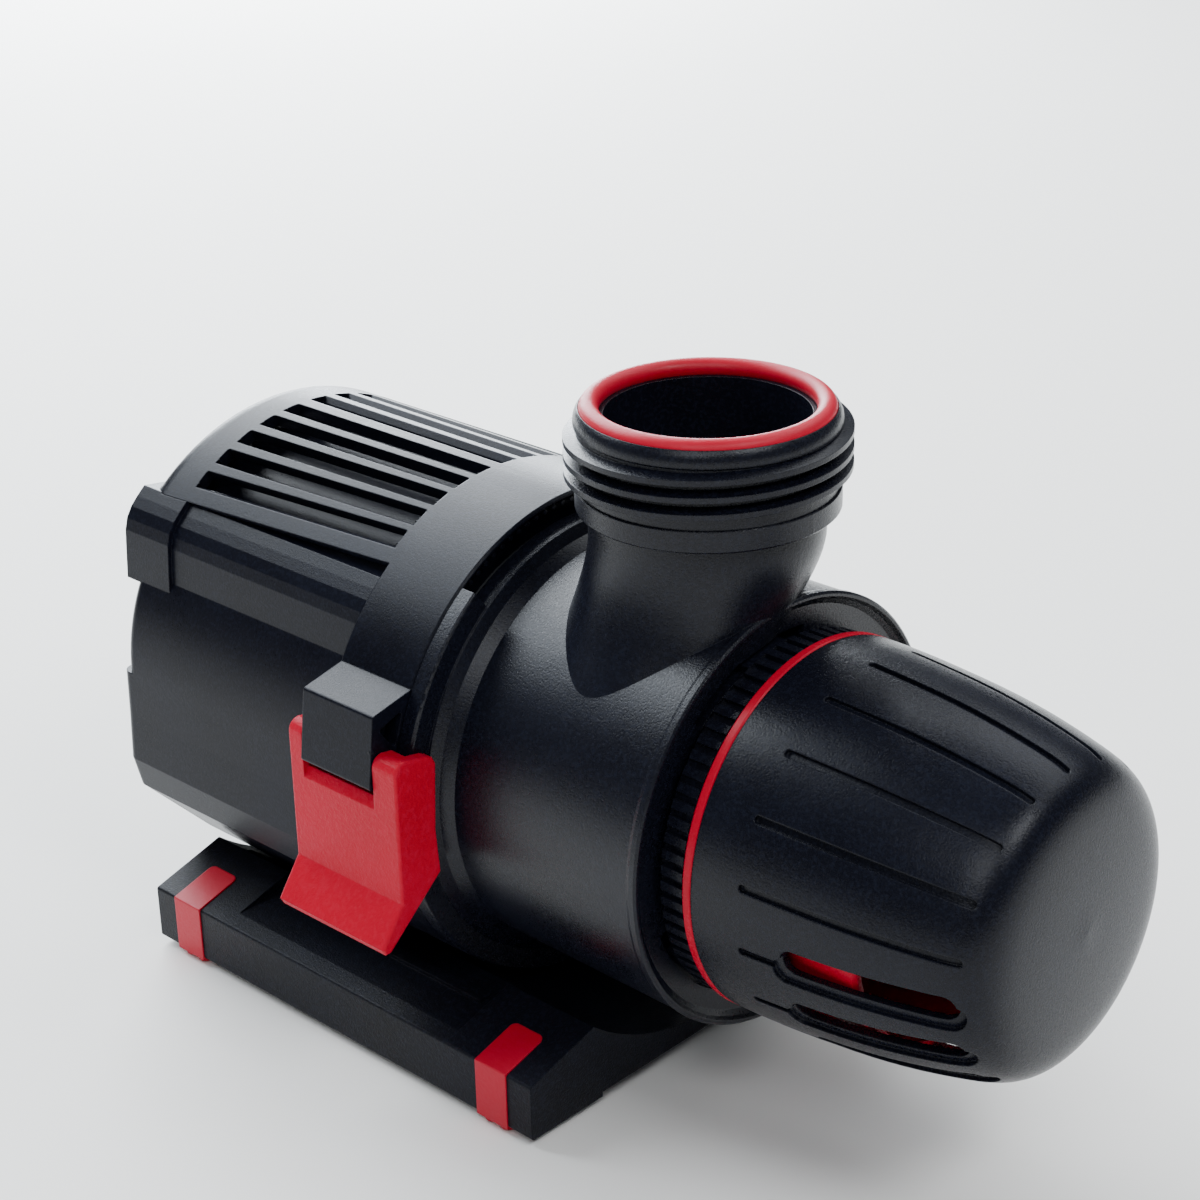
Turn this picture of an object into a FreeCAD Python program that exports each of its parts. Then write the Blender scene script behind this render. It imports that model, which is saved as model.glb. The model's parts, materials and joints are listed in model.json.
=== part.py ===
import FreeCAD, Part
import math
import os

from FreeCAD import Placement, Rotation, Vector

os.makedirs("parts", exist_ok=True)

# A submersible circulation pump for an aquarium, in millimetres.
# It is drawn about its own shaft: x along the shaft with zero at the outlet's axis and the inlet at +x,
# z up from the shaft. Each finished piece is then lifted onto the floor and centred by place().
# Angles run round the shaft from the top towards the -y side.

axis_height = 66.0        # shaft above the floor
gland_tip_x = -152.0      # rearmost point
strainer_tip_x = 97.4     # foremost point
outlet_x = -(gland_tip_x + strainer_tip_x) / 2
running_gap = 0.06        # radial gap of a running fit
free_gap = 0.3            # gap between bodies that move past each other

# motor housing
shell_r = 57.3            # vented shell, its front ring and the pump head's rim
shell_wall = 3.0
shell_back_x = -142.6
shell_back_round = 6.6    # the vented arch rolls over at the back
arch_angle = (41.9, 37.6)  # the arch's edge at its back and at its front
arch_edge_x = (-143.9, -61.9)
ring_back_x = -61.3       # front ring of the shell
ring_front_x = -39.4
housing_back_x = -144.0
housing_r = 50.2          # the casing's round side panel
housing_bore_r = 46.5
shoulder_front_x = -128.0  # the flush block at the casing's rear corner ends here
slot_count = 10
slot_pitch = 6.8          # degrees at the slots' front ends
slot_splay = 1.11         # the slots fan out towards the back by this much
slot_width = 3.9
slot_bevel = 1.7
slot_back_x = -128.4
slot_front_x = -62.9
lip_rib_count = 126
lip_rib_r = 0.55

# base
base_back_x = -126.7
base_front_x = 0.0
base_half_width = 58.0
base_underside_z = -64.1
base_hollow_half_width = 36.0
base_side_top_z = -50.7
saddle_peak_y = 38.0
saddle_peak_z = -45.0
saddle_r = 59.1
scoop_x = (-100.5, -26.0)  # finger room under the latches
scoop_edge_y = 53.8
ledge_x = (-58.6, -29.0)
base_screw_x = (-116.0, -72.0)
base_screw_y = (-18.0, 18.0)
foot_width = 9.3
foot_x = (-119.6, -16.5)  # back edge of each strip
foot_skin = 0.35          # how far a strip stands proud
foot_depth = 1.3          # how deep a strip is let in
nub_r = 1.9

# rear cover and cable gland
cover_r = 41.8
cover_screw_circle_r = 35.0
gland_r = 6.95
gland_flange_r = 9.0
nut_r = 10.4

# motor
stator_x = (-116.0, -68.0)
stator_r = 41.1
magnet_x = (-112.0, -58.0)
magnet_r = 18.6
can_r = 21.0
can_wall = 1.2
tooth_count = 9
shaft_r = 3.0
shaft_x = (-120.1, -1.0)
impeller_r = 33.0
impeller_x = (-38.6, -16.0)
vane_count = 6

# pump head
rim_back_x = -39.1
rim_front_x = -35.1
rim_gap_angle = 37.0      # the rim is left out this far each side of the top
drum_front_x = 22.1
chamber_r = 42.5
cover_seat_r = 38.1
neck_bore_r = 21.5
outlet_collar_r = 27.8
outlet_collar_z = 64.9
outlet_top_z = 86.5
outlet_lip_z = 83.0       # where the lip starts above the thread
seal_groove_depth = 1.6
thread_r = 30.0
thread_root_r = 27.3
thread_pitch = 3.62
thread_turns = 2.9
thread_relief_z = 69.8    # top of the collar's plain foot
thread_start_z = 71.6
seal_ring_r = 24.5
seal_cord_r = 2.15

# inlet and strainer
spigot_r = 36.0
spigot_bore_r = 33.6
lock_ring_r = 39.7
grip_rib_count = 72
collar_flange_r = 41.55
collar_back_x = 28.5
cage_back_x = 31.0
sleeve_front_x = 68.0
sleeve_r = 36.0
cage_wall = 2.6
groove_count = 18
groove_step = 20.0
groove_half_width = 0.85
groove_x = (42.8, 91.0)
first_slot_angle = 98.0
inlet_slot_count = 9
inlet_slot_x = (53.0, 92.0)
inlet_slot_width = 6.2
slot_lip_shift = 3.4      # degrees that the slot's lower lip lies below it

# latches
hinge_y = 59.8
hinge_z = 13.8
pin_r = 1.1
barrel_r = 2.8
lever_x = (-66.0, -32.0)
plate_y = 60.0            # the lever's plate behind its face


def revolve_x(points):
    """A solid of revolution about the shaft from a closed outline of (x, radius)."""
    wire = Part.makePolygon([Vector(x, 0, r) for x, r in points + points[:1]])
    return Part.Face(wire).revolve(Vector(0, 0, 0), Vector(1, 0, 0), 360)


def tube_x(x0, x1, outer, inner=0.0):
    solid = Part.makeCylinder(outer, x1 - x0, Vector(x0, 0, 0), Vector(1, 0, 0))
    if inner > 0:
        solid = solid.cut(Part.makeCylinder(inner, x1 - x0 + 2, Vector(x0 - 1, 0, 0), Vector(1, 0, 0)))
    return solid


def rod_x(x0, x1, r, y, z):
    return Part.makeCylinder(r, x1 - x0, Vector(x0, y, z), Vector(1, 0, 0))


def post_z(x, y, z0, z1, r):
    return Part.makeCylinder(r, z1 - z0, Vector(x, y, z0), Vector(0, 0, 1))


def block(x0, x1, y0, y1, z0, z1):
    return Part.makeBox(x1 - x0, y1 - y0, z1 - z0, Vector(x0, y0, z0))


def prism_x(points, x0, x1):
    """A prism along x from a closed outline of (y, z)."""
    wire = Part.makePolygon([Vector(x0, y, z) for y, z in points + points[:1]])
    return Part.Face(wire).extrude(Vector(x1 - x0, 0, 0))


def arc_points(r, start, end, count):
    """Points of (y, z) on a circle about the shaft, on the -y side."""
    angles = [math.radians(start + (end - start) * k / (count - 1)) for k in range(count)]
    return [(-r * math.sin(a), r * math.cos(a)) for a in angles]


def turned(shape, degrees):
    """A copy turned about the shaft, from the top towards -y."""
    copy = shape.copy()
    copy.rotate(Vector(0, 0, 0), Vector(1, 0, 0), degrees)
    return copy


def sector_x(x0, x1, outer, inner, start, end):
    """Part of a tube between two angles."""
    wedge = Part.makeCylinder(outer, x1 - x0, Vector(0, 0, 0), Vector(0, 0, 1), end - start)
    wedge = wedge.cut(Part.makeCylinder(inner, x1 - x0, Vector(0, 0, 0), Vector(0, 0, 1)))
    # local z becomes x, local x becomes the top direction
    turn = Rotation(Vector(0, 0, 1), Vector(0, -1, 0), Vector(1, 0, 0), "ZYX")
    wedge.Placement = Placement(Vector(x0, 0, 0), turn)
    return turned(wedge, start)


def mirror_y(shape):
    return shape.mirror(Vector(0, 0, 0), Vector(0, 1, 0))


def join(shapes):
    first, rest = shapes[0], shapes[1:]
    return first.fuse(rest).removeSplitter() if rest else first


def soften(shape, radius, wanted):
    """Rounds the edges that wanted(edge) picks; a shape that can't take the rounding stays sharp."""
    edges = [edge for edge in shape.Edges if wanted(edge)]
    if not edges:
        return shape
    try:
        rounded = shape.makeFillet(radius, edges)
    except Part.OCCError:
        return shape
    return rounded if rounded.isValid() and len(rounded.Solids) == len(shape.Solids) else shape


def along_x(edge):
    return isinstance(edge.Curve, Part.Line) and abs(edge.tangentAt(edge.FirstParameter).x) > 0.999


def along_z(edge):
    return abs(edge.tangentAt(edge.FirstParameter).z) > 0.99


def on_plane_x(*places):
    """Picks edges that lie in one of the given planes across the shaft."""
    def wanted(edge):
        box = edge.BoundBox
        return box.XLength < 0.01 and any(abs(box.XMin - x) < 0.01 for x in places)
    return wanted


def round_edge_at(x, r):
    """Picks circular edges about the shaft at one place."""
    def wanted(edge):
        curve = edge.Curve
        return (isinstance(curve, Part.Circle) and abs(abs(curve.Axis.x) - 1) < 1e-6
                and abs(curve.Center.x - x) < 1e-3 and abs(curve.Radius - r) < 1e-3)
    return wanted


def level_circle_at(z):
    """Picks circular edges that lie level at one height."""
    return lambda edge: isinstance(edge.Curve, Part.Circle) and abs(edge.Curve.Center.z - z) < 0.01


def place(name, shape):
    """Lifts a piece into the finished frame and writes its file."""
    if not isinstance(shape, Part.Compound) and len(shape.Solids) == 1:
        shape = shape.Solids[0]
    shape.translate(Vector(outlet_x, 0, axis_height))
    box = shape.BoundBox
    print(f"{name:22s} solids {len(shape.Solids):3d} valid {shape.isValid()} volume {shape.Volume:10.0f}"
          f"  x {box.XMin:7.1f} {box.XMax:7.1f}  y {box.YMin:6.1f} {box.YMax:6.1f}"
          f"  z {box.ZMin:6.1f} {box.ZMax:6.1f}")
    shape.exportStep(f"parts/{name}.step")


# base and feet

def slope_z(y):
    """Height of the base's sloping shoulder."""
    fall = (saddle_peak_z - base_side_top_z) / (base_half_width - saddle_peak_y)
    return saddle_peak_z - fall * (abs(y) - saddle_peak_y)


def foot_strip(x, grow):
    """A rubber strip that wraps the base's edge; grow 0 gives its recess in the base."""
    top_y, under_y = 46.0, 44.0

    def corner_points(offset):
        lift = offset * math.hypot(1.0, slope_z(0) - slope_z(1))
        side = base_half_width + offset
        return [(-top_y, slope_z(top_y) + lift), (-side, slope_z(side) + lift),
                (-side, base_underside_z - offset), (-under_y, base_underside_z - offset)]

    strip = prism_x(corner_points(grow) + corner_points(-foot_depth)[::-1], x, x + foot_width)
    strip = soften(strip, 1.5, lambda e: e.BoundBox.XLength < 0.01 and abs(e.CenterOfMass.y + top_y) < 0.3)
    if not grow:
        return strip
    return soften(strip, 0.25, lambda e: along_x(e) and e.CenterOfMass.y < -base_half_width)


def make_base():
    half = [(-saddle_peak_y, saddle_peak_z), (-base_half_width, base_side_top_z),
            (-base_half_width, base_underside_z)]
    body = prism_x(half + [(-y, z) for y, z in half[::-1]], base_back_x, base_front_x)
    body = soften(body, 0.7, lambda e: along_x(e) and abs(e.CenterOfMass.y) > base_half_width - 0.1)
    body = body.cut(tube_x(base_back_x - 1, base_front_x + 1, saddle_r))
    hollow_depth = 1.2
    body = body.cut(block(base_back_x - 1, base_front_x + 1, -base_hollow_half_width, base_hollow_half_width,
                          base_underside_z - 1, base_underside_z + hollow_depth))
    # the scoop's floor rises less steeply than the shoulder, so it runs out at its outer edge
    floor_z = slope_z(scoop_edge_y)
    scoop = prism_x([(-scoop_edge_y, floor_z), (-34.0, floor_z + 1.8), (-34.0, -38.0),
                     (-scoop_edge_y, -38.0)], scoop_x[0], scoop_x[1])
    body = body.cut(Part.makeCompound([scoop, mirror_y(scoop)]))
    ledge = prism_x([(-44.2, floor_z), (-44.2, floor_z + 1.7), (-41.0, floor_z + 1.9), (-41.0, floor_z)],
                    ledge_x[0], ledge_x[1])
    body = join([body, ledge, mirror_y(ledge)])
    trims = []
    for x in foot_x:
        trims += [foot_strip(x, 0.0), mirror_y(foot_strip(x, 0.0))]
    for x in base_screw_x:
        for y in base_screw_y:
            trims.append(post_z(x, y, -70, -50, 2.1))
            trims.append(post_z(x, y, base_underside_z - 1, base_underside_z + 2.6, 4.1))
    return body.cut(Part.makeCompound(trims))


def make_foot(x):
    nubs = []
    for step in (2.4, foot_width - 2.4):
        for y in (-55.6, -48.5):
            nub = post_z(x + step, y, -axis_height, base_underside_z + 0.5, nub_r)
            nubs.append(soften(nub, 0.6, level_circle_at(-axis_height)))
    return join([foot_strip(x, foot_skin)] + nubs)


def make_base_screws():
    screws = []
    for x in base_screw_x:
        for y in base_screw_y:
            shank = post_z(x, y, -62.0, -51.0, 1.9)
            head = post_z(x, y, base_underside_z + 0.2, base_underside_z + 2.6, 3.7)
            socket = post_z(x, y, base_underside_z, base_underside_z + 1.4, 1.3)
            screws.append(join([shank, head]).cut(socket))
    return Part.makeCompound(screws)


# motor housing

def casing_shoulder(inset):
    """Outline of the casing beside the arch, on the -y side: a flat with a rounded top corner."""
    flank = [(-37.6, 43.2), (-39.9, 41.2), (-41.9, 39.2), (-43.4, 36.8), (-44.2, 34.0), (-44.5, 30.0),
             (-45.0, 22.0)]
    return [(y + inset, z - inset) for y, z in flank] + [(-40.0, 22.0), (-30.0, 42.0)]


def make_motor_casing():
    front_x = ring_back_x - 0.05
    panel_back_x = housing_back_x + 3.0
    panel = soften(tube_x(panel_back_x, front_x, housing_r), 3.0, round_edge_at(panel_back_x, housing_r))
    # below the shaft the sides run straight down to a facet and in to the base's saddle
    lower = [(-50.2, 0.0), (-50.5, -11.5), (-51.0, -23.0), (-49.0, -31.0), (-30.6, -50.0)]
    lower += arc_points(saddle_r - 0.2, 150, 180, 6)
    skirt = prism_x(lower + [(-y, z) for y, z in lower[-2::-1]], housing_back_x + 1.0, front_x)
    skirt = soften(skirt, 3.0, lambda e: on_plane_x(housing_back_x + 1.0)(e) and e.CenterOfMass.z < -2)
    corner = prism_x(casing_shoulder(0.0), housing_back_x, shoulder_front_x)
    flank = prism_x(casing_shoulder(0.9), shoulder_front_x - 1, front_x)
    body = join([panel, skirt, corner, mirror_y(corner), flank, mirror_y(flank)])
    # the vented arch is let into the flank
    body = body.cut(vented_arch()).cut(tube_x(-137, -40, housing_bore_r))
    body = body.cut(tube_x(-150, -130, 40.0))
    body = body.cut(tube_x(-150, -141, cover_r + 0.2))
    taps = [post_z(x, y, -60.0, -51.0, 1.95) for x in base_screw_x for y in base_screw_y]
    return body.cut(Part.makeCompound(taps))


def shell_frame(x0, angle0, x1, angle1):
    """A frame on the shell's surface: x along the line between two points, z outwards; with its length."""
    ends = [Vector(x, -shell_r * math.sin(math.radians(a)), shell_r * math.cos(math.radians(a)))
            for x, a in ((x0, angle0), (x1, angle1))]
    middle = math.radians((angle0 + angle1) / 2)
    outwards = Vector(0, -math.sin(middle), math.cos(middle))
    line = ends[1] - ends[0]
    length = line.Length
    line.normalize()
    return Placement(ends[0], Rotation(line, outwards.cross(line), outwards, "XZY")), length


def vent_cutter(index):
    """One vent slot with the bevel along its lower side."""
    angle = (index - (slot_count - 1) / 2) * slot_pitch
    side = 1 if angle > 0 else -1
    frame, length = shell_frame(slot_back_x, angle * slot_splay, slot_front_x, angle)
    half = slot_width / 2
    straight = soften(block(0, length, -half, half, -8, 3), 0.6, along_z)
    low = -side * half
    bevel = prism_x([(low, -1.5), (low - side * slot_bevel, 0.6), (low, 0.6)], 0, length)
    for shape in (straight, bevel):
        shape.Placement = frame.multiply(shape.Placement)
    return [straight, bevel]


def vented_arch():
    """A thin arch that rolls over at the back, cut off along its splayed lower edges."""
    inner_r = shell_r - shell_wall
    roll_x = shell_back_x + shell_back_round
    low_r = shell_r - shell_back_round
    diagonal = math.sqrt(0.5)
    front_x = ring_back_x + 1

    def corner_arc(r):
        return Part.Arc(Vector(roll_x, 0, low_r + r),
                        Vector(roll_x - r * diagonal, 0, low_r + r * diagonal),
                        Vector(roll_x - r, 0, low_r)).toShape()

    inner_round = shell_back_round - shell_wall
    edges = [Part.makeLine(Vector(front_x, 0, shell_r), Vector(roll_x, 0, shell_r)), corner_arc(shell_back_round),
             Part.makeLine(Vector(shell_back_x, 0, low_r), Vector(shell_back_x + shell_wall, 0, low_r)),
             corner_arc(inner_round),
             Part.makeLine(Vector(roll_x, 0, inner_r), Vector(front_x, 0, inner_r)),
             Part.makeLine(Vector(front_x, 0, inner_r), Vector(front_x, 0, shell_r))]
    widest = 46.0
    face = Part.Face(Part.Wire(Part.__sortEdges__(edges)))
    arch = turned(face.revolve(Vector(0, 0, 0), Vector(1, 0, 0), 2 * widest), -widest)
    frame, length = shell_frame(arch_edge_x[0], arch_angle[0], arch_edge_x[1], arch_angle[1])
    trim = block(-5, length + 5, -14, 0, -12, 8)
    trim.Placement = frame.multiply(trim.Placement)
    return arch.cut(Part.makeCompound([trim, mirror_y(trim)]))


def latch_block():
    """The block beside the ring that a latch lever straddles, on the -y side."""
    outline = [(-49.5, 27.7), (-61.3, 25.2), (-63.4, 8.4), (-52.0, 8.4)]
    body = prism_x(outline, ring_back_x, ring_front_x)
    body = soften(body, 0.8, lambda e: along_x(e) and e.CenterOfMass.y < -60)
    pocket = prism_x([(-59.8, 21.4), (-52.8, 24.0), (-55.6, 15.8)], ring_front_x - 4.0, ring_front_x + 1)
    pocket = soften(pocket, 0.6, along_x)
    detent = Part.makeSphere(0.85, Vector(ring_front_x - 0.62, -61.55, 17.1))
    return body.cut(pocket).fuse(detent)


def make_front_shell():
    cutters = []
    for index in range(slot_count):
        cutters += vent_cutter(index)
    arch = vented_arch().cut(Part.makeCompound(cutters))
    ring = revolve_x([(ring_back_x, 47.2), (ring_back_x, shell_r), (ring_front_x - 0.5, shell_r),
                      (ring_front_x, shell_r - 0.5), (ring_front_x, shell_r - 0.9), (ring_front_x - 2.6, 54.6),
                      (ring_front_x - 2.6, 50.0), (-48.0, 50.0), (-48.0, 47.2)])
    rib = rod_x(ring_front_x - 3.0, ring_front_x - 0.25, lip_rib_r, 0, 55.35)
    ring = ring.fuse([turned(rib, index * 360 / lip_rib_count) for index in range(lip_rib_count)])
    shell = join([arch, ring, latch_block(), mirror_y(latch_block())])
    bores = [rod_x(lever_x[0], lever_x[1], pin_r, side * hinge_y, hinge_z) for side in (1, -1)]
    return shell.cut(Part.makeCompound(bores))


def cover_screw_places(shape):
    return [turned(shape, 45 + 90 * k) for k in range(4)]


def make_rear_cover():
    face_x = housing_back_x + 0.2
    cover = tube_x(face_x, -141.0, cover_r).fuse(tube_x(-141.0, -137.2, 39.8))
    cover = soften(cover, 0.6, round_edge_at(face_x, cover_r)).cut(tube_x(-150, -130, gland_r + 0.05))
    holes = cover_screw_places(rod_x(-150, -130, 1.6, 0, cover_screw_circle_r))
    sinks = cover_screw_places(rod_x(-150, -142.2, 3.2, 0, cover_screw_circle_r))
    return cover.cut(Part.makeCompound(holes + sinks))


def make_rear_cover_screws():
    head = rod_x(-143.9, -142.2, 2.9, 0, cover_screw_circle_r)
    shank = rod_x(-142.2, -131.0, 1.5, 0, cover_screw_circle_r)
    drive = rod_x(-144.5, -143.0, 1.1, 0, cover_screw_circle_r)
    return Part.makeCompound(cover_screw_places(head.fuse(shank).cut(drive)))


def make_cable_gland():
    bore_r = 4.4
    body = tube_x(-149.0, -134.5, gland_r, bore_r).fuse(tube_x(-145.6, -143.85, gland_flange_r, bore_r))
    return body.fuse(tube_x(-137.1, -135.2, gland_flange_r, bore_r))


def make_gland_nut():
    corners = [math.radians(60 * k) for k in range(6)]
    nut = prism_x([(nut_r * math.cos(a), nut_r * math.sin(a)) for a in corners], gland_tip_x + 0.2, -145.7)
    cone = revolve_x([(gland_tip_x, 3.6), (gland_tip_x, 7.4), (-150.2, nut_r), (-145.7, nut_r), (-145.7, 3.6)])
    return nut.common(cone).cut(tube_x(-149.05, -145.0, gland_r + 0.05))


def make_gland_seal():
    return tube_x(-148.9, -138.0, 4.35, 3.2)


# motor

def make_stator_housing():
    """The alloy pot that carries the stator's heat out to the water."""
    pot_r = housing_bore_r - 0.2
    return revolve_x([(-130.0, 0.0), (-130.0, pot_r), (-62.0, pot_r), (-62.0, stator_r + 0.1),
                      (-126.5, stator_r + 0.1), (-126.5, 0.0)])


def make_stator_core():
    web = block(stator_x[0], stator_x[1], -3.0, 3.0, 24.0, 35.5)
    shoe = sector_x(stator_x[0], stator_x[1], 24.6, can_r + 0.2, -16, 16)
    tooth = web.fuse(shoe)
    yoke = tube_x(stator_x[0], stator_x[1], stator_r, 35.0)
    return join([yoke] + [turned(tooth, k * 360 / tooth_count) for k in range(tooth_count)])


def make_stator_windings():
    coil = block(stator_x[0] - 4.5, stator_x[1] + 4.5, -7.0, 7.0, 25.4, 33.8)
    coil = soften(coil, 3.0, along_z)
    coil = coil.cut(block(stator_x[0] - 0.1, stator_x[1] + 0.1, -3.1, 3.1, 20, 40))
    coil = coil.common(prism_x([(0, 0), (-15.5, 42.6), (15.5, 42.6)], -130, -50))
    return Part.makeCompound([turned(coil, k * 360 / tooth_count) for k in range(tooth_count)])


def make_drive_board():
    board = tube_x(-126.0, -124.4, 37.5, 8.0)
    chips = [block(-124.4, -122.6, 12, 20, -6, 4), block(-124.4, -122.9, -22, -14, 6, 12),
             block(-124.4, -122.4, -8, 4, -26, -18)]
    return join([board] + chips)


def make_rotor_well():
    """The thin wall between the water and the windings, with the wet wall behind the impeller."""
    bore_r = can_r - can_wall
    return revolve_x([(-120.2, 0.0), (-120.2, 3.1), (-115.9, 3.1), (-115.9, 4.3), (-120.0, 4.3),
                      (-120.0, bore_r), (-44.0, bore_r), (-42.2, can_r + 2.0), (-42.2, 49.8), (-46.0, 49.8),
                      (-46.0, can_r), (-121.4, can_r), (-121.4, 0.0)])


def make_shaft():
    return soften(tube_x(shaft_x[0], shaft_x[1], shaft_r), 0.4, lambda e: isinstance(e.Curve, Part.Circle))


def washer(x0, x1, r):
    """A plain ring that fits on the shaft."""
    return tube_x(x0, x1, r, shaft_r + 0.02)


def make_rotor_magnet():
    ring = tube_x(magnet_x[0], magnet_x[1], magnet_r, 7.0)
    return soften(ring, 0.6, lambda e: isinstance(e.Curve, Part.Circle) and e.Curve.Radius > magnet_r - 0.1)


def make_rotor_sleeve():
    """The plastic core that carries the magnet, the bearing bore and the impeller's hub."""
    bore_r = shaft_r + running_gap
    return revolve_x([(-41.0, bore_r), (-41.0, 7.9), (-52.0, 7.9), (-52.0, 9.5), (-57.9, 9.5), (-57.9, 6.98),
                      (-113.0, 6.98), (-113.0, bore_r)])


def make_impeller():
    bore_r = shaft_r + running_gap
    disc_x = impeller_x[0] + 2.2
    back = tube_x(impeller_x[0], disc_x, impeller_r, bore_r)
    hub = tube_x(-40.95, -20.0, 7.6, bore_r)
    # a vane is an arc of a thin tube whose centre stands beside the hub
    arc_y, arc_z, arc_r, vane_wall = 20.0, 8.0, 27.0, 1.8
    vane = rod_x(disc_x - 0.2, impeller_x[1], arc_r, arc_y, arc_z)
    vane = vane.cut(rod_x(-60, 0, arc_r - vane_wall, arc_y, arc_z))
    vane = vane.common(tube_x(-50, 0, impeller_r - 0.4, 7.2)).common(block(-60, 0, -40, arc_y, -40, arc_z))
    return join([back, hub] + [turned(vane, k * 360 / vane_count) for k in range(vane_count)])


# pump head

def neck_loft(inset, bottom_z):
    """The outlet neck: level circles whose centre sweeps down the -y side to meet the drum."""
    rings = [(70.0, 0.0, 0.0, 25.0), (61.0, 0.0, -0.3, 24.9), (52.0, -0.6, -2.2, 24.2),
             (45.0, -1.8, -5.4, 23.4), (38.0, -2.4, -9.2, 23.0), (31.0, -2.6, -13.4, 22.7),
             (20.0, -3.0, -20.0, 21.8), (8.0, -3.0, -24.5, 20.0)]
    wires = [Part.Wire(Part.makeCircle(r - inset, Vector(x, y, z), Vector(0, 0, 1)))
             for z, x, y, r in rings if z > bottom_z]
    return Part.makeLoft(wires, True, False)


def outlet_collar():
    """The outlet's collar: a plain foot, the thread's root and a lip rolled over towards the seal."""
    foot_edge, lip_edge_r = 0.4, seal_ring_r + seal_cord_r + 0.15
    corners = [(0, outlet_top_z), (0, outlet_collar_z), (outlet_collar_r - foot_edge, outlet_collar_z),
               (outlet_collar_r, outlet_collar_z + foot_edge), (outlet_collar_r, thread_relief_z - 0.2),
               (outlet_collar_r - 0.2, thread_relief_z), (thread_root_r, thread_relief_z),
               (thread_root_r, outlet_lip_z - 0.4), (outlet_collar_r, outlet_lip_z)]
    points = [Vector(r, 0, z) for r, z in corners]
    roll_middle = Vector(outlet_collar_r - 0.25, 0, outlet_top_z - 1.2)
    roll = Part.Arc(points[-1], roll_middle, Vector(lip_edge_r, 0, outlet_top_z)).toShape()
    top = Part.makeLine(Vector(lip_edge_r, 0, outlet_top_z), points[0])
    outline = Part.Wire(Part.makePolygon(points).Edges + [roll, top])
    return Part.Face(outline).revolve(Vector(0, 0, 0), Vector(0, 0, 1), 360)


def thread_ridge():
    """The helical ridge of the outlet's union thread, with its ends turned away from the front."""
    sunk_r = thread_root_r - 0.4
    half_root, half_crest = 1.45, 0.6
    helix = Part.makeHelix(thread_pitch, thread_pitch * thread_turns, sunk_r)
    section = Part.makePolygon([Vector(sunk_r, 0, -half_root), Vector(thread_r, 0, -half_crest),
                                Vector(thread_r, 0, half_crest), Vector(sunk_r, 0, half_root),
                                Vector(sunk_r, 0, -half_root)])
    ridge = Part.Wire(helix.Edges).makePipeShell([section], True, True)
    ridge.rotate(Vector(0, 0, 0), Vector(0, 0, 1), 110)
    ridge.translate(Vector(0, 0, thread_start_z))
    return ridge


def make_volute():
    drum = revolve_x([(rim_front_x - 0.4, 0), (rim_front_x - 0.4, 52.2), (rim_front_x + 0.5, 52.0),
                      (rim_front_x + 1.7, 49.4), (rim_front_x + 4.6, 47.6), (10.0, 48.0), (19.5, 48.1),
                      (20.4, 48.4), (21.7, 48.4), (drum_front_x, 47.9), (drum_front_x, 47.3),
                      (21.2, 46.6), (20.3, 45.4), (20.1, 41.0), (20.1, 0)])
    rim = tube_x(rim_back_x, rim_front_x, shell_r - 0.1)
    rim = soften(rim, 0.6, round_edge_at(rim_front_x, shell_r - 0.1))
    rim = rim.cut(sector_x(rim_back_x - 1, rim_front_x + 1, 60, 52.1, -rim_gap_angle, rim_gap_angle))
    spigot = tube_x(-41.9, rim_back_x + 0.1, 49.6)
    body = drum.fuse([rim, spigot])
    for piece in (neck_loft(0.0, 0.0), outlet_collar()):
        body = body.fuse(piece)
    chamber = tube_x(-45, 14.5, chamber_r)
    seat = tube_x(14.0, 30, cover_seat_r)
    bore = post_z(0, 0, 61.0, outlet_top_z + 10, neck_bore_r)
    seal_groove = post_z(0, 0, outlet_top_z - seal_groove_depth, outlet_top_z + 2,
                         seal_ring_r + seal_cord_r + 0.05)
    for cutter in (Part.makeCompound([chamber, seat]), bore, neck_loft(4.0, 24.0), seal_groove):
        body = body.cut(cutter)
    # three pockets behind the front wall take the lock ring's lugs
    pockets = [sector_x(17.0, 21.0, 41.2, 37.0, 120 * k - 10, 120 * k + 42) for k in range(3)]
    return body.cut(Part.makeCompound(pockets)).fuse(thread_ridge())


def make_outlet_seal():
    centre_z = outlet_top_z - 0.5
    ring = Part.makeTorus(seal_ring_r, seal_cord_r, Vector(0, 0, centre_z), Vector(0, 0, 1))
    return ring.cut(post_z(0, 0, centre_z - 5, outlet_top_z - seal_groove_depth, 40))


def make_volute_seal():
    return Part.makeTorus(46.2, 1.4, Vector(-40.6, 0, 0), Vector(1, 0, 0)).common(tube_x(-42.1, -40.0, 60))


def make_inlet_cover():
    """Closes the pump head and carries the suction funnel, the front bearing and the strainer's spigot."""
    body = revolve_x([(14.6, 38.0), (19.9, 38.0), (19.9, spigot_r), (28.2, spigot_r), (28.2, spigot_bore_r),
                      (17.2, spigot_bore_r), (15.0, 26.0), (8.0, 18.5), (-13.0, 16.0), (-13.0, 18.2),
                      (7.0, 20.6), (14.6, 29.0)])
    spider = [turned(block(-10.0, -2.5, -1.5, 1.5, 6.0, 16.9), 120 * k) for k in range(3)]
    hub_r = 7.2
    hub = tube_x(-10.0, 0.6, hub_r, 4.92)
    nose = tube_x(-1.0, 2.5, hub_r)
    return join([body, hub, nose] + spider)


def make_inlet_seal():
    return Part.makeTorus(36.6, 0.9, Vector(14.5, 0, 0), Vector(1, 0, 0)).common(tube_x(13.7, 14.55, 60))


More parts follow.
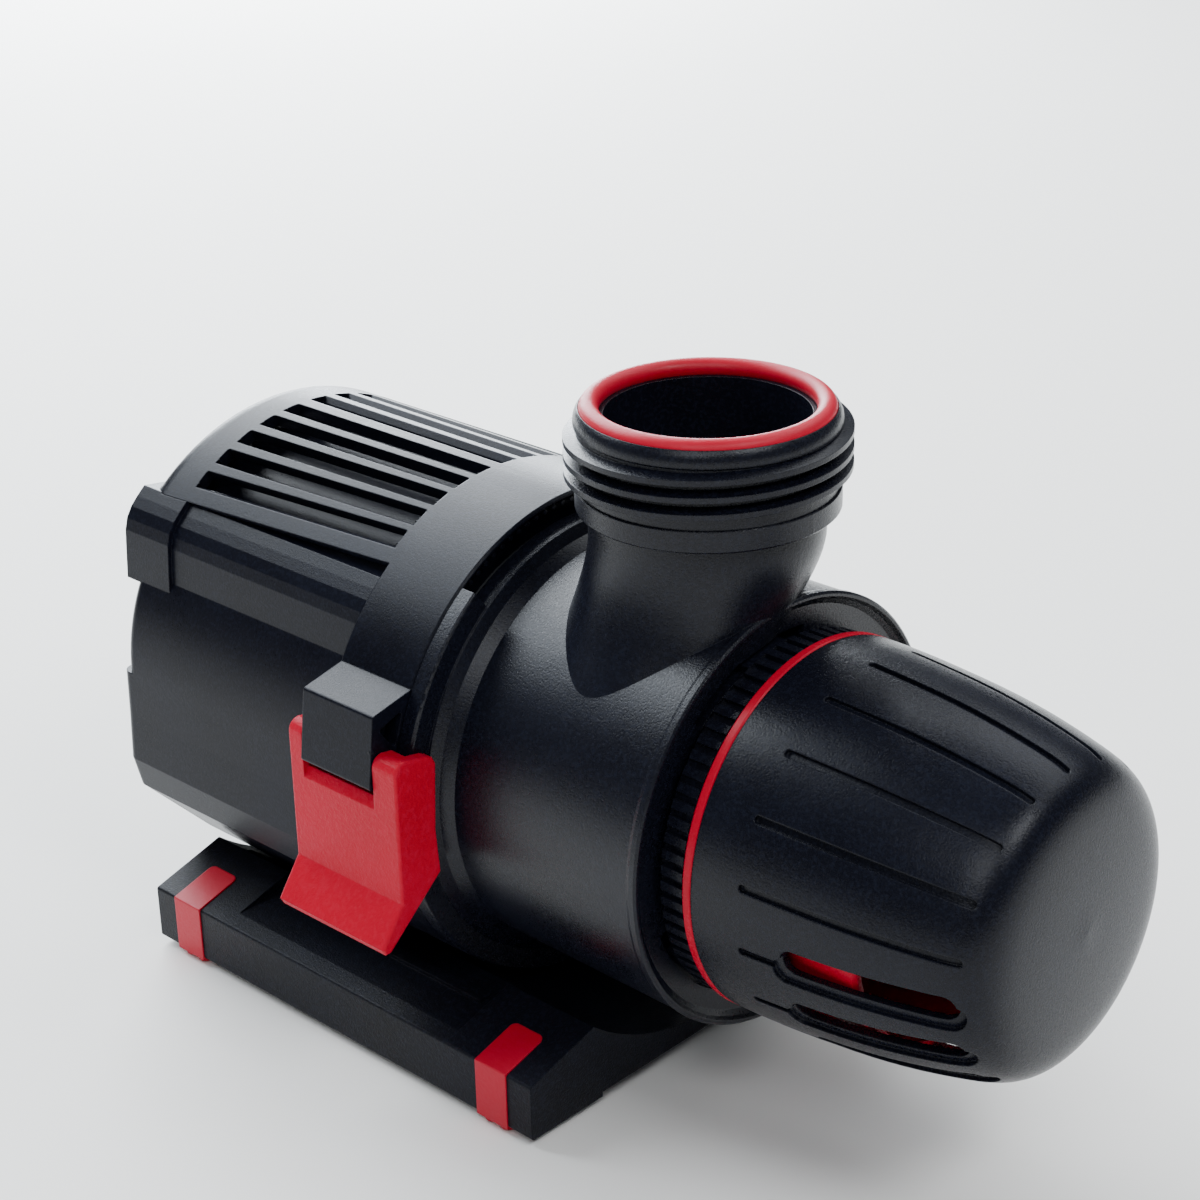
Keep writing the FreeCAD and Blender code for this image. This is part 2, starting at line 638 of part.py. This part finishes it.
def make_lock_ring():
    bore_r = spigot_r + running_gap
    ring = revolve_x([(21.2, bore_r), (21.2, lock_ring_r - 0.5), (21.8, lock_ring_r), (28.2, lock_ring_r),
                      (28.2, bore_r)])
    lugs = [sector_x(18.2, 21.6, 39.9, cover_seat_r + 0.25, 120 * k, 120 * k + 18) for k in range(3)]
    rib = block(22.3, 28.0, -1.0, 1.0, lock_ring_r - 0.6, lock_ring_r + 1.1)
    return join([ring] + lugs).fuse([turned(rib, k * 360 / grip_rib_count) for k in range(grip_rib_count)])


# strainer

def make_strainer_collar():
    """The red collar: a plug in the inlet's spigot, a thin flange in view and a sleeve inside the cage."""
    plug_r = spigot_bore_r - running_gap
    edge = 0.4
    return revolve_x([(21.5, 31.6), (21.5, plug_r), (collar_back_x, plug_r),
                      (collar_back_x, collar_flange_r - edge), (collar_back_x + edge, collar_flange_r),
                      (30.5, collar_flange_r), (30.9, collar_flange_r - edge), (30.9, sleeve_r),
                      (sleeve_front_x - 0.8, sleeve_r), (sleeve_front_x, sleeve_r - 0.8),
                      (sleeve_front_x, sleeve_r - 2.0), (34.0, sleeve_r - 2.0), (31.0, 31.6)])


def cage_solid(grow):
    """The cage's outer form, grown or shrunk: a barrel that rounds over to a nearly flat end."""
    barrel = [(cage_back_x, 41.5), (43.0, 41.2), (52.0, 40.6), (60.0, 39.9), (68.0, 38.9), (76.0, 37.5),
              (84.0, 35.7), (89.0, 34.2), (92.2, 32.4), (94.4, 29.8), (95.8, 26.0), (96.5, 21.0), (97.1, 10.0)]
    shoulder_x, shoulder_length = 86.0, 10.0
    points = [Vector(x + grow * min(1.0, max(0.0, (x - shoulder_x) / shoulder_length)), 0,
                     r + grow if r > 22 else r) for x, r in barrel]
    tip = Vector(strainer_tip_x + grow, 0, 0)
    curve = Part.BSplineCurve()
    curve.interpolate(points + [tip])
    corner = Vector(cage_back_x, 0, 0)
    wire = Part.Wire([curve.toShape(), Part.makeLine(tip, corner), Part.makeLine(corner, points[0])])
    return Part.Face(wire).revolve(Vector(0, 0, 0), Vector(1, 0, 0), 360)


def cage_bar(x0, x1, width, corner):
    """A radial bar with rounded ends, used to cut the cage."""
    return soften(block(x0, x1, -width / 2, width / 2, 20, 50), corner, along_z)


def make_strainer_cage():
    body = cage_solid(0.0).cut(cage_solid(-cage_wall)).cut(tube_x(0, cage_back_x + 5, 38.2))
    band = cage_solid(1.5).cut(cage_solid(-1.0))
    groove = cage_bar(groove_x[0], groove_x[1], 2 * groove_half_width, 0.8).common(band)
    cutters = [turned(groove, index * groove_step) for index in range(groove_count)]
    lip = cage_bar(inlet_slot_x[0] - 2.0, inlet_slot_x[1], inlet_slot_width, 2.9).common(band)
    slot = cage_bar(inlet_slot_x[0], inlet_slot_x[1] - 1.5, inlet_slot_width, 2.9)
    for index in range(inlet_slot_count):
        angle = first_slot_angle + index * groove_step
        cutters += [turned(slot, angle), turned(lip, angle + slot_lip_shift)]
    for cutter in cutters:
        body = body.cut(cutter)
    return body


# latches

def lever_outline():
    """The lever's ear seen along the shaft, on the -y side: hinge end, straight face, flared thumb lip."""
    hinge_end = [(-hinge_y - barrel_r * math.cos(math.radians(a)),
                  hinge_z + barrel_r * math.sin(math.radians(a)))
                 for a in range(0, 91, 15)]
    return hinge_end + [(-53.2, 15.4), (-51.6, 14.6), (-50.8, 13.0), (-51.7, -2.7), (-50.9, -13.1),
                        (-66.3, -26.5), (-67.8, -26.6), (-68.7, -25.0), (-hinge_y - barrel_r, -16.4)]


def make_latch_lever():
    """A hooked lever: two ears astride the latch block, a plate between them and a flared thumb lip."""
    back_ear, front_ear = lever_x
    inside = (ring_back_x - free_gap, ring_front_x + free_gap)
    body = prism_x(lever_outline(), back_ear, front_ear)
    body = soften(body, 0.6, on_plane_x(back_ear, front_ear))
    hollow = prism_x([(-plate_y, 30), (-plate_y, -17.2), (-65.5, -24.6), (-plate_y, -40), (-30, -40),
                      (-30, 30)],
                     *inside)
    bevel = prism_x([(-60.4, 8.0), (-63.0, 3.4), (-70.0, 3.4), (-70.0, 8.0)], *inside)
    swing_room = [rod_x(*inside, 7.4, -hinge_y, hinge_z), block(*inside, -80, -30, hinge_z, 40)]
    rim_clear_r = shell_r + 0.5
    rim_x = (rim_back_x - free_gap, rim_front_x + free_gap)
    rim_room = [tube_x(*rim_x, rim_clear_r), block(*rim_x, -57.0, -30, 4, 30),
                tube_x(ring_front_x - 0.1, rim_back_x, rim_clear_r),
                tube_x(rim_front_x - 1, rim_front_x + 1, 52.8)]
    housing_room = [block(-70, inside[0], -53.0, -30, -60, 40), tube_x(-70, inside[0], 53.0)]
    for cutter in [hollow, bevel] + swing_room + rim_room + housing_room:
        body = body.cut(cutter)
    return body.cut(rod_x(back_ear + 1.2, front_ear - 1.6, pin_r + running_gap, -hinge_y, hinge_z))


def make_latch_pin():
    return rod_x(lever_x[0] + 1.5, lever_x[1] - 1.9, pin_r - 0.001, -hinge_y, hinge_z)


place("base", make_base())
for label, x in (("rear", foot_x[0]), ("front", foot_x[1])):
    place(f"foot_{label}_right", make_foot(x))
    place(f"foot_{label}_left", mirror_y(make_foot(x)))
place("base_screws", make_base_screws())
place("motor_casing", make_motor_casing())
place("front_shell", make_front_shell())
place("rear_cover", make_rear_cover())
place("rear_cover_screws", make_rear_cover_screws())
place("cable_gland", make_cable_gland())
place("gland_nut", make_gland_nut())
place("gland_seal", make_gland_seal())
place("stator_housing", make_stator_housing())
place("stator_core", make_stator_core())
place("stator_windings", make_stator_windings())
place("drive_board", make_drive_board())
place("rotor_well", make_rotor_well())
place("shaft", make_shaft())
place("rear_thrust_washer", washer(-115.8, -113.6, 7.0))
place("rotor_magnet", make_rotor_magnet())
place("rotor_sleeve", make_rotor_sleeve())
place("impeller", make_impeller())
place("front_thrust_washer", washer(-19.8, -18.6, 5.6))
place("front_bearing", washer(-10.0, -1.2, 4.9))
place("volute", make_volute())
place("outlet_seal", make_outlet_seal())
place("volute_seal", make_volute_seal())
place("inlet_cover", make_inlet_cover())
place("inlet_seal", make_inlet_seal())
place("lock_ring", make_lock_ring())
place("strainer_collar", make_strainer_collar())
place("strainer_cage", make_strainer_cage())
place("latch_lever_right", make_latch_lever())
place("latch_lever_left", mirror_y(make_latch_lever()))
place("latch_pin_right", make_latch_pin())
place("latch_pin_left", mirror_y(make_latch_pin()))
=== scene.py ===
import json
import math

import bpy
from mathutils import Matrix, Vector

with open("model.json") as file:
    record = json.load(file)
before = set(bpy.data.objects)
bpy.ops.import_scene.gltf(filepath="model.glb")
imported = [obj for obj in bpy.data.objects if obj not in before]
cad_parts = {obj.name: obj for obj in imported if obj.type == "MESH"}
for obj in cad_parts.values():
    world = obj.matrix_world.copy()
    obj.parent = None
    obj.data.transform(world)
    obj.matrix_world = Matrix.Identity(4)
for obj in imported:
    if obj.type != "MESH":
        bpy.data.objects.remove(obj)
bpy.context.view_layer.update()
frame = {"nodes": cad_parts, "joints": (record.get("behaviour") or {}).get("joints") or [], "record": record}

mounts = {mount["name"]: mount for mount in frame["record"]["mounts"]}
outletX = mounts["outlet_bore"]["pos_m"][0]
shaftZ = next(joint for joint in frame["joints"] if joint["name"] == "rotor_spin")["pos_m"][2]
print("frame loaded:", len(frame["nodes"]), "nodes")


camera = {
    "place": (0.33222, -0.37974, 0.26975),   # metres from the outlet's axis and the shaft
    "azimuth": 43.79,                        # degrees
    "elevation": 24.20,
    "roll": -1.35,
    "lens": 78.57,                           # millimetres
    "sensor": 36.0,
    "clip": (0.01, 20.0),                    # metres
}


def makeCamera(values):
    data = bpy.data.cameras.new("camera")
    data.lens = values["lens"]
    data.sensor_width = values["sensor"]
    data.clip_start = values["clip"][0]
    data.clip_end = values["clip"][1]
    eye = bpy.data.objects.new("camera", data)
    bpy.context.scene.collection.objects.link(eye)
    azimuth = math.radians(values["azimuth"])
    elevation = math.radians(values["elevation"])
    roll = math.radians(values["roll"])
    back = Vector((math.sin(azimuth) * math.cos(elevation), -math.cos(azimuth) * math.cos(elevation),
                   math.sin(elevation)))
    level = Vector((0, 0, 1)).cross(back).normalized()
    upright = back.cross(level)
    right = level * math.cos(roll) + upright * math.sin(roll)
    up = upright * math.cos(roll) - level * math.sin(roll)
    turn = Matrix((right, up, back)).transposed().to_4x4()
    place = Vector(values["place"]) + Vector((outletX, 0, shaftZ))
    eye.matrix_world = Matrix.Translation(place) @ turn
    bpy.context.scene.camera = eye


# places, aims and sizes in metres, strengths in watts
lights = {
    "backSoftbox": {
        "place": (-1.02, 0.42, 1.00), "aim": (-0.03, 0, 0.08),
        "size": (0.80, 0.80), "watts": 32, "colour": (0.88, 0.94, 1.0),
    },
    "lowSoftbox": {
        "place": (-1.20, 0.85, 0.36), "aim": (-0.04, 0, 0.08),
        "size": (0.9, 0.5), "watts": 30, "colour": (0.88, 0.94, 1.0),
    },
    "leftSoftbox": {
        "place": (-1.05, -0.28, 1.12), "aim": (-0.05, 0, 0.08),
        "size": (0.7, 0.7), "watts": 19, "colour": (0.86, 0.93, 1.0),
    },
    "topSoftbox": {
        "place": (0.15, 0.95, 1.30), "aim": (0, 0, 0.05),
        "size": (1.5, 0.8), "watts": 13, "colour": (0.92, 0.96, 1.0),
    },
    "frontSoftbox": {
        "place": (0.62, -1.10, 1.30), "aim": (0, 0, 0.05),
        "size": (0.8, 0.8), "watts": 11, "colour": (0.93, 0.96, 1.0),
    },
    "rightSoftbox": {
        "place": (0.95, -0.06, 1.18), "aim": (0.08, 0, 0.07),
        "size": (0.55, 0.40), "watts": 9, "colour": (0.93, 0.96, 1.0),
    },
}
studio = {"colour": (0.84, 0.91, 1.0), "strength": 0.16}   # the room's own light


def makeLight(name, values):
    data = bpy.data.lights.new(name, "AREA")
    data.shape = "RECTANGLE"
    data.size = values["size"][0]
    data.size_y = values["size"][1]
    data.energy = values["watts"]
    data.color = values["colour"]
    lamp = bpy.data.objects.new(name, data)
    bpy.context.scene.collection.objects.link(lamp)
    lamp.location = values["place"]
    ray = Vector(values["aim"]) - Vector(values["place"])
    lamp.rotation_euler = ray.to_track_quat("-Z", "Y").to_euler()


def makeStudio(values):
    world = bpy.data.worlds.new("studio")
    bpy.context.scene.world = world
    world.use_nodes = True
    background = world.node_tree.nodes["Background"]
    background.inputs["Color"].default_value = (*values["colour"], 1)
    background.inputs["Strength"].default_value = values["strength"]


makeCamera(camera)
for lightName, light in lights.items():
    makeLight(lightName, light)
makeStudio(studio)
print("camera and lights ready")


noiseMean = 0.5      # a noise varies about this value
bevelSamples = 6     # rays that round an edge
mixSockets = {"factor": 0, "first": 6, "second": 7, "result": 2}   # the Mix node's, when it mixes colours


# a node's output socket; operators on it add Math nodes
class Sock:
    def __init__(self, maker, socket):
        self.maker = maker
        self.socket = socket

    def math(self, operation, first, second):
        return self.maker.node("ShaderNodeMath", {"operation": operation}, {0: first, 1: second})

    def __add__(self, other):
        return self.math("ADD", self, other)

    def __radd__(self, other):
        return self.math("ADD", other, self)

    def __sub__(self, other):
        return self.math("SUBTRACT", self, other)

    def __rsub__(self, other):
        return self.math("SUBTRACT", other, self)

    def __mul__(self, other):
        return self.math("MULTIPLY", self, other)

    def __rmul__(self, other):
        return self.math("MULTIPLY", other, self)


# one material's nodes
class Maker:
    def __init__(self, name):
        self.material = bpy.data.materials.new(name)
        self.material.use_nodes = True
        self.tree = self.material.node_tree
        self.shader = self.tree.nodes["Principled BSDF"]

    def node(self, kind, settings=None, inputs=None, output=0):
        made = self.tree.nodes.new(kind)
        for key, value in (settings or {}).items():
            if key == "stops":
                self.setStops(made.color_ramp.elements, value)
            else:
                setattr(made, key, value)
        for key, value in (inputs or {}).items():
            self.feed(made.inputs[key], value)
        return Sock(self, made.outputs[output])

    # a new ramp has two elements, and every ramp here has two stops
    def setStops(self, elements, stops):
        for element, (place, tone) in zip(elements, stops, strict=True):
            element.position = place
            element.color = (tone, tone, tone, 1)

    def feed(self, socket, value):
        if isinstance(value, Sock):
            self.tree.links.new(value.socket, socket)
        elif isinstance(value, tuple) and len(socket.default_value) == 4:
            socket.default_value = (*value, 1)
        else:
            socket.default_value = value

    def place(self):
        return self.node("ShaderNodeTexCoord", output="Object")

    def stretched(self, scale):
        return self.node("ShaderNodeMapping", None, {"Vector": self.place(), "Scale": scale}, "Vector")

    def noise(self, scale, detail, roughness, vector=None):
        values = {"Vector": vector or self.place(), "Scale": scale, "Detail": detail, "Roughness": roughness}
        return self.node("ShaderNodeTexNoise", {"noise_dimensions": "3D"}, values, "Fac")

    def ramp(self, factor, low, high):
        return self.node("ShaderNodeValToRGB", {"stops": [(low, 0.0), (high, 1.0)]}, {"Fac": factor}, "Color")

    def mix(self, factor, first, second):
        inputs = {mixSockets["factor"]: factor, mixSockets["first"]: first, mixSockets["second"]: second}
        return self.node("ShaderNodeMix", {"data_type": "RGBA"}, inputs, mixSockets["result"])

    def rounded(self, radius):
        return self.node("ShaderNodeBevel", {"samples": bevelSamples}, {"Radius": radius}, "Normal")

    def bump(self, height, distance, normal=None):
        values = {"Height": height, "Distance": distance, "Strength": 1.0}
        if normal is not None:
            values["Normal"] = normal
        return self.node("ShaderNodeBump", None, values, "Normal")

    def finish(self, values):
        for key, value in values.items():
            self.feed(self.shader.inputs[key], value)
        return self.material


# moulded plastic or rubber: a spark-eroded grain, faint clouds in its sheen, pale flecks and soft edges
def moulded(name, look):
    maker = Maker(name)
    grain = maker.noise(look["grainScale"], *look["grainNoise"])
    cloud = maker.noise(look["cloudScale"], *look["cloudNoise"])
    spots = maker.noise(look["grainScale"] * look["fleckSpread"], *look["fleckNoise"])
    fleck = maker.ramp(spots, *look["fleckRange"])
    colour = maker.mix(maker.ramp(cloud, *look["cloudRange"]), look["dark"], look["light"])
    colour = maker.mix(fleck * look["fleckAmount"], colour, look["fleck"])
    rough = look["rough"] + (cloud - noiseMean) * look["roughVary"] + (grain - noiseMean) * look["grainRough"]
    normal = maker.bump(grain, look["grainDepth"], maker.rounded(look["edge"]))
    return maker.finish({"Base Color": colour, "Roughness": rough, "Normal": normal,
                         "Specular IOR Level": look["specular"]})


# metal with fine drawn, cast or wound lines in its colour and sheen
def lined(name, look):
    maker = Maker(name)
    lines = maker.noise(look["scale"], *look["noise"], maker.stretched(look["stretch"]))
    colour = maker.mix(lines, look["dark"], look["light"])
    rough = look["rough"] + (lines - noiseMean) * look["roughVary"]
    normal = maker.bump(lines, look["depth"], maker.rounded(look["edge"]))
    return maker.finish({"Base Color": colour, "Metallic": 1.0, "Roughness": rough, "Normal": normal})


# a noise is its detail and its roughness, and a range is where a ramp starts and ends
housingLook = {
    "dark": (0.0026, 0.0027, 0.0055),
    "light": (0.0042, 0.0049, 0.0098),
    "fleck": (0.017, 0.021, 0.038),
    "fleckAmount": 0.18,
    "fleckSpread": 0.55,        # the flecks' scale as a share of the grain's
    "fleckNoise": (1.0, 0.5),
    "fleckRange": (0.48, 0.66),
    "grainScale": 2300.0,
    "grainNoise": (3.0, 0.62),
    "grainDepth": 0.00005,      # metres
    "grainRough": 0.22,
    "cloudScale": 34.0,
    "cloudNoise": (3.0, 0.55),
    "cloudRange": (0.3, 0.7),
    "rough": 0.32,
    "roughVary": 0.10,
    "edge": 0.0004,             # metres
    "specular": 0.10,
}
headLook = dict(housingLook, rough=0.29, fleckAmount=0.20, grainScale=2100.0, grainDepth=0.00007,
                edge=0.0002, specular=0.24)
strainerLook = dict(housingLook, rough=0.27, fleckAmount=0.18, grainScale=2100.0, grainDepth=0.00007,
                    edge=0.0005, specular=0.18)
baseLook = dict(housingLook, rough=0.42, fleckAmount=0.25, grainDepth=0.00012, specular=0.12,
                dark=(0.0024, 0.0023, 0.0040))
redPlasticLook = dict(housingLook, dark=(0.420, 0.0008, 0.0170), light=(0.480, 0.0014, 0.0230),
                      fleck=(0.50, 0.020, 0.050), fleckAmount=0.22, grainScale=1300.0, grainDepth=0.00016,
                      rough=0.38, specular=0.10)
redGlossLook = dict(redPlasticLook, rough=0.26, grainDepth=0.00002, fleckAmount=0.06)
redRubberLook = dict(redPlasticLook, rough=0.42, grainDepth=0.00005, fleckAmount=0.10, specular=0.25)
sealLook = dict(housingLook, dark=(0.010, 0.010, 0.011), light=(0.016, 0.016, 0.017), rough=0.5,
                grainDepth=0.00003)
greyLook = dict(housingLook, dark=(0.07, 0.075, 0.08), light=(0.10, 0.105, 0.11),
                fleck=(0.14, 0.14, 0.15))
impellerLook = dict(greyLook, rough=0.30, grainDepth=0.00002)
ceramicLook = dict(greyLook, dark=(0.72, 0.70, 0.64), light=(0.82, 0.80, 0.75), fleck=(0.86, 0.85, 0.80),
                   rough=0.16, grainDepth=0.000008, specular=0.5)
magnetLook = dict(greyLook, dark=(0.03, 0.03, 0.032), light=(0.05, 0.05, 0.054), fleck=(0.09, 0.09, 0.09),
                  rough=0.5)
boardLook = dict(greyLook, dark=(0.01, 0.09, 0.035), light=(0.015, 0.13, 0.05), fleck=(0.05, 0.20, 0.09),
                 rough=0.35)

steelLook = {
    "stretch": (1, 8, 8),
    "scale": 400.0,
    "noise": (3.0, 0.6),
    "dark": (0.42, 0.42, 0.43),
    "light": (0.62, 0.62, 0.63),
    "rough": 0.30,
    "roughVary": 0.2,
    "depth": 0.00003,           # metres
    "edge": 0.0003,             # metres
}
alloyLook = dict(steelLook, stretch=(1, 1, 1), scale=700.0, dark=(0.38, 0.39, 0.40),
                 light=(0.55, 0.56, 0.57), rough=0.45)
laminateLook = dict(steelLook, stretch=(30, 0.5, 0.5), scale=60.0, dark=(0.16, 0.17, 0.18),
                    light=(0.40, 0.41, 0.43), rough=0.40)
copperLook = dict(steelLook, stretch=(1, 6, 1), scale=500.0, dark=(0.50, 0.19, 0.07),
                  light=(0.82, 0.42, 0.20))

slotMaterials = {
    "housing_black": moulded("housingPlastic", housingLook),
    "head_black": moulded("headPlastic", headLook),
    "base_black": moulded("basePlastic", baseLook),
    "strainer_black": moulded("strainerPlastic", strainerLook),
    "latch_red": moulded("latchPlastic", redPlasticLook),
    "collar_red": moulded("collarPlastic", redGlossLook),
    "seal_red": moulded("outletRubber", redRubberLook),
    "foot_red": moulded("footRubber", redRubberLook),
    "seal_black": moulded("blackRubber", sealLook),
    "screw_steel": lined("screwSteel", steelLook),
    "pot_alloy": lined("potAlloy", alloyLook),
    "core_steel": lined("coreSteel", laminateLook),
    "copper_wire": lined("copperWire", copperLook),
    "board_green": moulded("boardResin", boardLook),
    "well_grey": moulded("wellPlastic", greyLook),
    "ceramic": moulded("ceramic", ceramicLook),
    "magnet_black": moulded("magnetCoat", magnetLook),
    "impeller_grey": moulded("impellerPlastic", impellerLook),
}
slotOf = {entry["node"]: entry["material_slot"] for entry in frame["record"]["subparts"]}
for nodeName, node in frame["nodes"].items():
    for slot in node.material_slots:
        slot.material = slotMaterials[slotOf[nodeName]]
print("materials on", len(frame["nodes"]), "nodes")


floor = {
    "reach": 6.0,               # metres each way
    "tone": (0.94, 0.92, 0.88),
    "shade": (0.91, 0.89, 0.85),
    "cloudScale": 3.0,
    "cloudNoise": (2.0, 0.5),
    "rough": 0.8,
    "specular": 0.2,
}


def makeFloor(values):
    maker = Maker("paleFloor")
    cloud = maker.noise(values["cloudScale"], *values["cloudNoise"])
    tone = maker.mix(cloud, values["shade"], values["tone"])
    maker.finish({"Base Color": tone, "Roughness": values["rough"], "Specular IOR Level": values["specular"]})
    reach = values["reach"]
    mesh = bpy.data.meshes.new("floor")
    mesh.from_pydata([(-reach, -reach, 0), (reach, -reach, 0), (reach, reach, 0), (-reach, reach, 0)], [],
                     [(0, 1, 2, 3)])
    mesh.materials.append(maker.material)
    sheet = bpy.data.objects.new("floor", mesh)
    bpy.context.scene.collection.objects.link(sheet)


makeFloor(floor)
print("floor laid")
